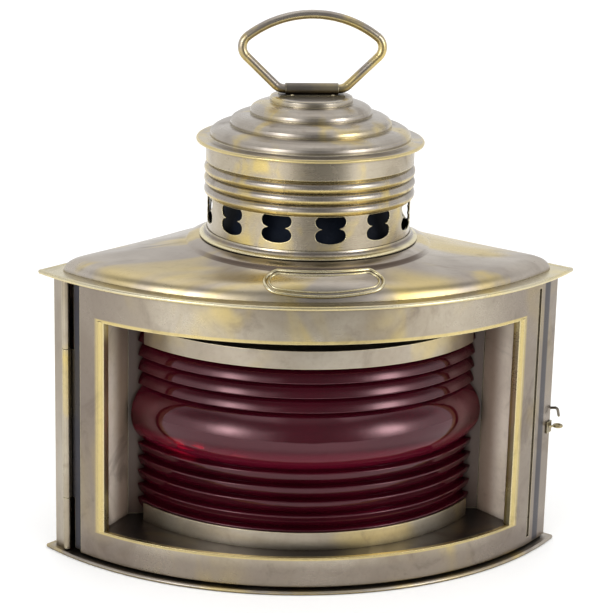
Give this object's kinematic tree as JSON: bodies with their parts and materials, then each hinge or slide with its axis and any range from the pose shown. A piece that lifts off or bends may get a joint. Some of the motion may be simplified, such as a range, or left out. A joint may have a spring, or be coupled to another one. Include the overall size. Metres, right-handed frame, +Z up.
{
  "type": "ship navigation lamp",
  "caption": "Bow-fronted brass ship's lamp with a ribbed red lens in a hinged door, a vented chimney, a stepped cap, a wire bail and an oil font inside.",
  "frame": {"origin": "on the chimney's axis, at the underside of the rolled base edge that the lamp stands on", "axes": "+Z up along the chimney, -Y towards the curved glass front, +X to the latch side"},
  "size_m": [0.2674, 0.1657, 0.2731],
  "materials": {
    "aged_brass": "antiqued, satin, brown patina",
    "bright_brass": "antiqued, polished on the high edges",
    "dark_brass": "dull, sooty",
    "red_glass": "dark red, pressed, glossy",
    "cotton": "woven flat wick",
    "washer": "oiled leather"
  },
  "bodies": {
    "body": {"base_plate": "aged_brass", "font_seat": "dark_brass", "left_side_wall": "aged_brass", "right_side_wall": "aged_brass", "back_plate": "aged_brass", "rear_socket": "aged_brass", "back_rivets": "bright_brass", "top_flange": "aged_brass", "roof_dome": "aged_brass", "label_border": "bright_brass", "chimney_collar": "bright_brass", "chimney_drum": "aged_brass", "draught_funnel": "dark_brass", "cap": "aged_brass", "bail_strap": "aged_brass", "strap_rivets": "bright_brass", "hinge_body_leaf": "aged_brass", "hinge_pin": "bright_brass", "body_hinge_rivets": "bright_brass", "latch_stud": "bright_brass"},
    "door_panel": {"door": "aged_brass", "hinge_door_leaf": "aged_brass", "door_hinge_rivets": "bright_brass", "left_cheek": "aged_brass", "right_cheek": "aged_brass", "window_floor": "aged_brass", "window_ceiling": "aged_brass", "upper_lens_channel": "aged_brass", "lower_lens_channel": "aged_brass", "lens": "red_glass", "latch_eye": "bright_brass"},
    "bail": {"bail": "bright_brass"},
    "latch_hook": {"latch_hook": "bright_brass"},
    "font": {"oil_font": "aged_brass", "burner_collar": "bright_brass", "burner_body": "bright_brass", "wick_tube": "aged_brass", "burner_dome": "aged_brass", "filler_washer": "washer"},
    "wick": {"wick": "cotton"},
    "wick_knob": {"wick_knob": "bright_brass"},
    "filler_cap": {"filler_cap": "bright_brass"}
  },
  "joints": [
    {"name": "door_hinge", "type": "hinge", "parent": "body", "child": "door_panel", "pos_m": [-0.1202, -0.01744, 0.073], "axis": [0, 0, -1], "range_deg": [0, 110]},
    {"name": "bail_swing", "type": "hinge", "parent": "body", "child": "bail", "pos_m": [0, 0, 0.23444], "axis": [1, 0, 0], "range_deg": [-80, 80]},
    {"name": "latch_swing", "type": "hinge", "parent": "body", "child": "latch_hook", "pos_m": [0.11377, 0.00607, 0.06626], "axis": [0.7071, 0.7071, 0], "range_deg": [-75, 14]},
    {"name": "font_lift", "type": "slide", "parent": "body", "child": "font", "axis": [0, 0, 1], "range_m": [0, 0.03]},
    {"name": "knob_turn", "type": "hinge", "parent": "font", "child": "wick_knob", "pos_m": [0, 0.0113, 0.04286], "axis": [1, 0, 0], "range_deg": [-100, 100]},
    {"name": "wick_slide", "type": "slide", "parent": "font", "child": "wick", "axis": [0, 0, 1], "range_m": [-0.0055, 0.0055]},
    {"name": "filler_turn", "type": "hinge", "parent": "font", "child": "filler_cap", "pos_m": [0.023, 0.016, 0.038], "axis": [0, 0, 1], "range_deg": [0, 540]}
  ],
  "couplings": [
    {"joint": "knob_turn", "follows": "wick_slide", "rad_per_m": 312.5}
  ]
}
